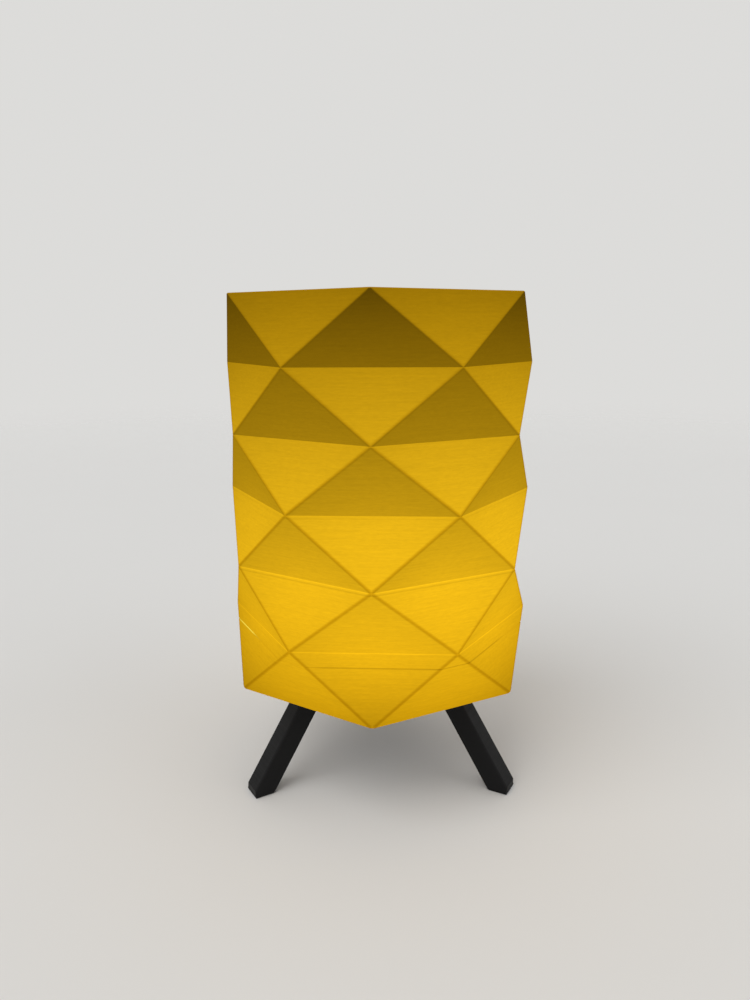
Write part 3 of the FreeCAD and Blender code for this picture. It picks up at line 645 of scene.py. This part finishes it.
def makeLeg(nodeName, direction):
    # level rounded-rectangle sections whose middle moves outward going down; the toe is cut upright
    splay = math.radians(leg["splay"])
    spreadRate = math.tan(splay)
    halfDepth, halfWidth = leg["depth"] / 2 / math.cos(splay), leg["width"] / 2
    tenon = leg["tenonDepth"] / 2 / math.cos(splay), leg["tenonWidth"] / 2, leg["tenonRound"]
    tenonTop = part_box(nodeName)[1].z
    sole, bend = leg["soleRound"], leg["rounding"]
    partly = leg["soleStep"] * sole
    rows = np.array([
        (0, 0, 0, 0), (0, halfDepth - sole, halfWidth - sole, bend),
        (partly, halfDepth - partly, halfWidth - partly, bend), (sole, halfDepth, halfWidth, bend),
        (leg["toeTrim"] / spreadRate, halfDepth, halfWidth, bend), (hubFoot, halfDepth, halfWidth, bend),
        (hubFoot, *tenon), (tenonTop, *tenon), (tenonTop, 0, 0, 0)])
    height, halfAcross, halfWide, rounding = rows.T[..., None]
    quarter = np.linspace(0, np.pi / 2, leg["roundSteps"] + 1)
    angle = (np.pi / 2 * np.arange(4)[:, None] + quarter).ravel()
    signAcross = np.repeat([1, -1, -1, 1], len(quarter))
    signWide = np.repeat([1, 1, -1, -1], len(quarter))
    middle = leg["reach"] + (standTop - height) * spreadRate
    across = middle + signAcross * (halfAcross - rounding) + rounding * np.cos(angle)
    wide = signWide * (halfWide - rounding) + rounding * np.sin(angle)
    toe = leg["reach"] + standTop * spreadRate + halfDepth - leg["toeTrim"]
    across = np.minimum(across, toe - np.clip(halfDepth - halfAcross, 0, sole) * (height < sole))
    turn = math.radians(direction + standTurn)
    points = np.stack([across * math.cos(turn) - wide * math.sin(turn),
                       across * math.sin(turn) + wide * math.cos(turn), height + 0 * across], -1)
    name = nodeName.split("_", 1)[1].title().replace("_", "")
    return buildPiece("leg" + name, [grid(points)], "stand", [nodeName], black)


for nodeName, direction in legDirections.items():
    makeLeg(nodeName, direction)

# Tealight

ivoryPlastic = dict(base=(0.78, 0.74, 0.66), deep=(0.75, 0.705, 0.615), roughness=(0.32, 0.40),
                    mottle=180.0, satin=900.0, pores=1200.0, bump=(0.03, 0.00004))


def makeIvory():
    look = ivoryPlastic
    material, tree, shader = newMaterial("ivoryPlastic")
    addColor(tree, shader, cloud(tree, look["mottle"]), look["base"], look["deep"])
    addRoughness(tree, shader, cloud(tree, look["satin"]), *look["roughness"])
    addBump(tree, shader, cloud(tree, look["pores"]), *look["bump"])
    return material


flamePlastic = dict(
    base=(0.86, 0.66, 0.38), deep=0.9,
    light=((0.0, (0.95, 0.52, 0.10)), (0.35, (1.0, 0.70, 0.26)),      # share of the height, and colour
           (0.6, (1.0, 0.58, 0.14)), (1.0, (0.80, 0.34, 0.04))),
    frost=1500.0, roughness=(0.38, 0.50), bump=(0.2, 0.00006),
)


def makeFlamePlastic(low, high):
    look = flamePlastic
    material, tree, shader = newMaterial("flamePlastic")
    height = axisOf(tree, objectCoords(tree), "Z")
    ramp = addNode(tree, "ShaderNodeValToRGB", {"Fac": spread(tree, height, low, high, 0.0, 1.0)})
    stops = ramp.color_ramp.elements
    ready = len(stops)
    for index, (place, color) in enumerate(look["light"]):
        stop = stops[index] if index < ready else stops.new(place)
        stop.position = place
        stop.color = rgba(color)
    tree.links.new(ramp.outputs["Color"], shader.inputs["Emission Color"])
    shader.inputs["Emission Strength"].default_value = 1.0
    frost = cloud(tree, look["frost"])
    addColor(tree, shader, frost, look["base"], [look["deep"] * channel for channel in look["base"]])
    addRoughness(tree, shader, frost, *look["roughness"])
    addBump(tree, shader, frost, *look["bump"])
    return material


ivory = makeIvory()
cupLow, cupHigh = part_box("tealight_cup")
flameLow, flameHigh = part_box("flame_lens")

cup = dict(
    wall=0.0012, draft=0.0006, columns=120,
    land=0.0016, dish=0.003, dishFloor=0.0062, neck=0.0043,      # level rim, dish and the hole for the flame
    innerRadius=0.0172, ledge=0.0006, ledgeHeight=0.0494,        # recess for the bottom plate
    topRound=0.0009, footRound=0.0002, landRound=0.0005, dishRound=0.0010,
    neckRound=0.0002, insideRound=0.0003,
)


def makeCup():
    # a rounded profile carried round the axis: up the outside, over the rim, down the dish to the hole for
    # the flame, and back along the inside
    radius, top, foot = cupHigh.x, cupHigh.z, cupLow.z
    rim, dishLevel = radius - cup["draft"], top - cup["dish"]
    inner, recess = cup["innerRadius"], cup["innerRadius"] + cup["ledge"]
    underDish = dishLevel - cup["wall"]
    path = roundedPath([
        (recess, foot, 0), (radius, foot, cup["footRound"]), (rim, top, cup["topRound"]),
        (rim - cup["land"], top, cup["landRound"]), (cup["dishFloor"], dishLevel, cup["dishRound"]),
        (cup["neck"], dishLevel, cup["neckRound"]), (cup["neck"], underDish, cup["neckRound"]),
        (cup["dishFloor"], underDish, cup["insideRound"]), (inner, top - cup["wall"], cup["insideRound"]),
        (inner, cup["ledgeHeight"], 0), (recess, cup["ledgeHeight"], 0)])
    points = turned(path, cup["columns"])
    return buildPiece("tealightCup", [grid(points, True)], "tealight", ["tealight_cup"],
                      ivory, True)


makeCup()

flame = dict(
    neck=0.0042, belly=0.0056, tip=0.0007, swellEnds=0.5, taperPower=0.82, dishLevel=0.060,
    collar=0.0056, collarHeight=0.0017, collarRound=0.0002,
    bore=0.0026, boreTop=0.0642, steps=33, columns=64,
)


def makeFlame():
    # a profile carried round the axis: the bore, the collar, then a drop whose radius swells by half a sine
    # wave over its lower part and falls to the tip by a power of the height over its upper part
    collarTop = flameLow.z + flame["collarHeight"]
    rise = flameHigh.z - flame["dishLevel"]
    share = np.linspace(0, 1, flame["steps"])
    ends = flame["swellEnds"]
    swell = flame["neck"] + (flame["belly"] - flame["neck"]) * np.sin(np.pi * np.clip(share / ends, 0, 1))
    taper = np.clip((share - ends) / (1 - ends), 0, 1)
    radius = swell + (flame["tip"] - flame["neck"]) * taper ** flame["taperPower"]
    drop = np.stack([radius, flame["dishLevel"] + share * rise], 1)
    collar = roundedPath([(flame["bore"], flameLow.z, 0), (flame["collar"], flameLow.z, flame["collarRound"]),
                          (flame["collar"], collarTop, flame["collarRound"]), (flame["neck"], collarTop, 0)])
    bore = [(0, flame["boreTop"]), (flame["bore"], flame["boreTop"])]
    points = turned(np.concatenate([bore, collar, drop, [(0, flameHigh.z)]]), flame["columns"])
    return buildPiece("flameLens", [grid(points)], "tealight", ["flame_lens"],
                      makeFlamePlastic(flame["dishLevel"], flameHigh.z), True)


makeFlame()

# Finishes of the small parts, most of which keep their CAD shape

brushedMetal = dict(brush=(3000.0, 3000.0, 160.0), bump=(0.12, 0.00003))
metals = dict(
    fastener_steel=dict(base=(0.56, 0.56, 0.57), dull=(0.50, 0.50, 0.51), roughness=(0.28, 0.38)),
    cell_steel=dict(base=(0.62, 0.62, 0.61), dull=(0.52, 0.52, 0.51), roughness=(0.20, 0.34)),
    contact_brass=dict(base=(0.72, 0.55, 0.25), dull=(0.58, 0.42, 0.17), roughness=(0.24, 0.40)),
    lead_wire=dict(base=(0.60, 0.60, 0.60), dull=(0.48, 0.48, 0.48), roughness=(0.22, 0.36)),
)


def makeMetal(name, look):
    material, tree, shader = newMaterial(name)
    brushed = streaks(tree, brushedMetal["brush"])
    addColor(tree, shader, brushed, look["base"], look["dull"])
    addRoughness(tree, shader, brushed, *look["roughness"])
    shader.inputs["Metallic"].default_value = 1.0
    addBump(tree, shader, brushed, *brushedMetal["bump"])
    return material


amberResin = dict(base=(0.95, 0.60, 0.12), deep=(0.85, 0.48, 0.08), light=(1.0, 0.66, 0.20),
                  deepLight=(1.0, 0.56, 0.12), clouds=400.0, roughness=0.15)


def makeResin():
    look = amberResin
    material, tree, shader = newMaterial("amberResin")
    depth = cloud(tree, look["clouds"])
    addColor(tree, shader, depth, look["base"], look["deep"])
    addColor(tree, shader, depth, look["light"], look["deepLight"], "Emission Color")
    shader.inputs["Emission Strength"].default_value = 1.0
    shader.inputs["Roughness"].default_value = look["roughness"]
    return material


knobPlastic = dict(base=(0.026, 0.026, 0.027), pale=(0.038, 0.038, 0.040), mottle=700.0,
                   roughness=(0.40, 0.55), pores=2400.0, bump=(0.15, 0.00005))


def makeKnobPlastic():
    look = knobPlastic
    material, tree, shader = newMaterial("knobPlastic")
    mottle = cloud(tree, look["mottle"])
    addColor(tree, shader, mottle, look["base"], look["pale"])
    addRoughness(tree, shader, mottle, *look["roughness"])
    addBump(tree, shader, cloud(tree, look["pores"]), *look["bump"])
    return material


finishes = {slotName: makeMetal(slotName, look) for slotName, look in metals.items()}
finishes.update(stand_plastic=black, cup_plastic=ivory, led_resin=makeResin(),
                switch_plastic=makeKnobPlastic())
for row in frame["record"]["subparts"]:
    if row["material_slot"] in finishes:
        slots = nodes[row["node"]].data.materials
        slots.clear()
        slots.append(finishes[row["material_slot"]])
print("finishes set")

# Screw and nut of the stand

fastener = dict(
    columns=72,
    shank=0.0020, pitch=0.0007, grooveDepth=0.00035, stepsPerTurn=10,
    headDepth=0.0020, edge=0.00012, drive=0.0014, driveDepth=0.0012, driveTip=0.0003,
    nutCorner=0.0040, nutBore=0.0021, nutBevel=0.0003,
    nutFace=0.98, nutCone=30.0,     # round face as a share of the flats, and the bevel's slope in degrees
)


def makeScrew():
    # a shank whose radius drops by a V-shaped groove that winds round it, below a sunk head with a
    # six-sided drive
    screwLow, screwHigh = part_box("clamp_screw")
    foot, top, headRadius = screwLow.z, screwHigh.z, screwHigh.x
    neck, edge, depth = top - fastener["headDepth"], fastener["edge"], fastener["grooveDepth"]
    level = np.arange(foot, neck, fastener["pitch"] / fastener["stepsPerTurn"])[:, None]
    turns = level / fastener["pitch"] - np.arange(fastener["columns"]) / fastener["columns"]
    groove = depth * (1 - np.abs(2 * (turns % 1) - 1)) * np.clip((neck - level) / fastener["pitch"], 0, 1)
    shank = fastener["shank"] - np.maximum(groove, np.clip(depth + foot - level, 0, depth))
    drive = sixSided(fastener["drive"], fastener["columns"])
    flat = 0 * drive
    head = [(fastener["shank"], neck), (headRadius - edge, top - edge), (headRadius - 2 * edge, top),
            (drive + edge, top), (drive, top - edge), (drive, top - fastener["driveDepth"]),
            (flat, top - fastener["driveDepth"] - fastener["driveTip"])]
    radius = np.concatenate([[flat], shank, [flat + reach for reach, height in head]])
    height = np.concatenate([[flat + foot], level + flat, [flat + height for reach, height in head]])
    points = around(radius, height)
    return buildPiece("clampScrew", [grid(points)], "stand", ["clamp_screw"],
                      finishes["fastener_steel"])


def makeNut():
    # a six-sided outline whose corners a shallow cone bevels at both ends, round a bevelled bore
    foot, top = (end.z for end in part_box("clamp_nut"))
    outline = sixSided(fastener["nutCorner"], fastener["columns"])
    face = fastener["nutFace"] * outline.min()
    drop = (outline - face) * math.tan(math.radians(fastener["nutCone"]))
    bore, bevel = fastener["nutBore"], fastener["nutBevel"]
    rows = [(bore, foot + bevel), (bore + bevel, foot), (face, foot), (outline, foot + drop),
            (outline, top - drop), (face, top), (bore + bevel, top), (bore, top - bevel)]
    radius = np.stack([0 * outline + reach for reach, height in rows])
    height = np.stack([0 * outline + height for reach, height in rows])
    points = around(radius, height, math.radians(standTurn + 90))
    return buildPiece("clampNut", [grid(points, True)], "stand", ["clamp_nut"],
                      finishes["fastener_steel"])


makeScrew()
makeNut()

# Diode and its leads

diode = dict(radius=0.0025, flangeHeight=0.0010, rounding=0.00015, domeSteps=14, columns=64,
             leadBend=0.0008, leadSteps=8, leadColumns=20)


def makeDiode():
    # a rounded flange, then a barrel that ends in a half sphere, carried round the axis
    diodeLow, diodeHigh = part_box("led")
    radius, rounding = diode["radius"], diode["rounding"]
    flangeTop = diodeLow.z + diode["flangeHeight"]
    angle = np.linspace(0, np.pi / 2, diode["domeSteps"])
    dome = np.stack([radius * np.cos(angle), diodeHigh.z - radius + radius * np.sin(angle)], 1)
    flange = roundedPath([(0, diodeLow.z, 0), (diodeHigh.x, diodeLow.z, rounding),
                          (diodeHigh.x, flangeTop, rounding), (radius, flangeTop, 0)])
    points = turned(np.concatenate([flange, dome]), diode["columns"])
    return buildPiece("ledDiode", [grid(points)], "tealight", ["led"],
                      finishes["led_resin"], True)


def makeLead(nodeName, side):
    # a circle carried along a level run that bends up into the diode, closed at both ends
    low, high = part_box(nodeName)
    thick = (high.y - low.y) / 2
    far, near = max(-low.x, high.x), min(abs(low.x), abs(high.x)) + thick
    level = low.z + thick
    corners = [(far, level, 0), (near, level, diode["leadBend"]), (near, high.z, 0)]
    line = roundedPath(corners, diode["leadSteps"])
    ahead = np.gradient(line, axis=0)
    ahead /= np.linalg.norm(ahead, axis=1)[:, None]
    angle = np.linspace(0, 2 * np.pi, diode["leadColumns"], endpoint=False)
    line, ahead = line[[0, *range(len(line)), -1]], ahead[[0, *range(len(ahead)), -1]]
    reach = np.full((len(line), 1), thick)
    reach[[0, -1]] = 0
    away = reach * np.cos(angle)
    points = np.stack([side * (line[:, :1] - ahead[:, 1:] * away), -side * reach * np.sin(angle),
                       line[:, 1:] + ahead[:, :1] * away], -1)
    name = "lead" + nodeName.split("_")[1].title()
    return buildPiece(name, [grid(points)], "tealight", [nodeName], finishes["lead_wire"], True)


makeDiode()
makeLead("lead_positive", -1)
makeLead("lead_negative", 1)

# Studio

studio = dict(
    floorColor=(0.76, 0.755, 0.74), floorShade=0.98, floorGrain=6.0, floorRoughness=0.7, floorGloss=0.2,
    floorRings=(2.4, 0.8, 0.3, 0.0), floorColumns=96,
    fadeFrom=0.6, fadeTo=1.9,               # from the axis: where the floor begins to fade, and is gone
    background=(0.72, 0.715, 0.70), ambient=0.58,
    keyStrength=1.15, keyFrom=(-0.55, -0.62, 1.0), fillStrength=0.30, fillFrom=(0.9, -0.35, 0.6),
    lampAngle=50.0,                         # degrees across, for soft shadows
)


def makeFloor():
    # level circles round the axis, joined ring to ring
    path = np.array([(radius, 0.0) for radius in studio["floorRings"]])
    points = turned(path, studio["floorColumns"])
    faces = gridFaces(len(path), studio["floorColumns"], False, True)
    mesh = bpy.data.meshes.new("floor")
    mesh.from_pydata(points.reshape(-1, 3).tolist(), [], faces.tolist())
    mesh.validate()
    floor = bpy.data.objects.new("floor", mesh)
    bpy.context.scene.collection.objects.link(floor)
    material, tree, shader = newMaterial("paleFloor")
    pale = studio["floorColor"]
    shade = [studio["floorShade"] * channel for channel in pale]
    addColor(tree, shader, cloud(tree, studio["floorGrain"]), pale, shade)
    shader.inputs["Roughness"].default_value = studio["floorRoughness"]
    shader.inputs["Specular IOR Level"].default_value = studio["floorGloss"]
    away = vectorCalc(tree, "LENGTH", objectCoords(tree))
    edge = spread(tree, away, studio["fadeFrom"], studio["fadeTo"], 1.0, 0.0, True)
    below = addNode(tree, "ShaderNodeNewGeometry").outputs["Backfacing"]
    above = calc(tree, "SUBTRACT", 1.0, below)     # clear from below, to show the underside
    tree.links.new(calc(tree, "MULTIPLY", edge, above), shader.inputs["Alpha"])
    mesh.materials.append(material)


def makeLight(name, source, strength):
    data = bpy.data.lights.new(name, "SUN")
    data.energy = strength
    data.angle = math.radians(studio["lampAngle"])
    light = bpy.data.objects.new(name, data)
    light.rotation_euler = (-Vector(source)).to_track_quat("-Z", "Y").to_euler()
    bpy.context.scene.collection.objects.link(light)


def makeWorld():
    world = bpy.data.worlds.new("studio")
    bpy.context.scene.world = world
    world.use_nodes = True
    tree = world.node_tree
    background = tree.nodes["Background"]
    path = addNode(tree, "ShaderNodeLightPath")
    seen = calc(tree, "MAXIMUM", path.outputs["Is Camera Ray"], path.outputs["Is Glossy Ray"])
    seen = calc(tree, "MAXIMUM", seen, path.outputs["Is Transmission Ray"])
    addColor(tree, background, seen, [studio["ambient"]] * 3, studio["background"], "Color")
    background.inputs["Strength"].default_value = 1.0


makeFloor()
makeWorld()
makeLight("keyLight", studio["keyFrom"], studio["keyStrength"])
makeLight("fillLight", studio["fillFrom"], studio["fillStrength"])
bpy.context.scene.view_settings.view_transform = "Standard"
print("studio ready")

# Camera, from a fit of the ring corners to the photograph

camera = dict(eye=(0.01327, -0.30712, 0.18009), yaw=-2.760, pitch=-12.238, roll=-0.243, focalPixels=771.6,
              imageHeight=1000, sensor=36.0, clipStart=0.01)


def makeCamera():
    yaw, pitch, roll = (math.radians(camera[key]) for key in ("yaw", "pitch", "roll"))
    forward = Vector((math.sin(yaw) * math.cos(pitch), math.cos(yaw) * math.cos(pitch), math.sin(pitch)))
    level = forward.cross(Vector((0, 0, 1))).normalized()
    upright = level.cross(forward)
    right = math.cos(roll) * level + math.sin(roll) * upright
    up = right.cross(forward)
    data = bpy.data.cameras.new("photoCamera")
    data.sensor_width = camera["sensor"]
    data.lens = camera["focalPixels"] / camera["imageHeight"] * camera["sensor"]
    data.clip_start = camera["clipStart"]
    holder = bpy.data.objects.new("photoCamera", data)
    turn = Matrix((right, up, -forward)).transposed()
    holder.matrix_world = Matrix.Translation(camera["eye"]) @ turn.to_4x4()
    bpy.context.scene.collection.objects.link(holder)
    bpy.context.scene.camera = holder


makeCamera()
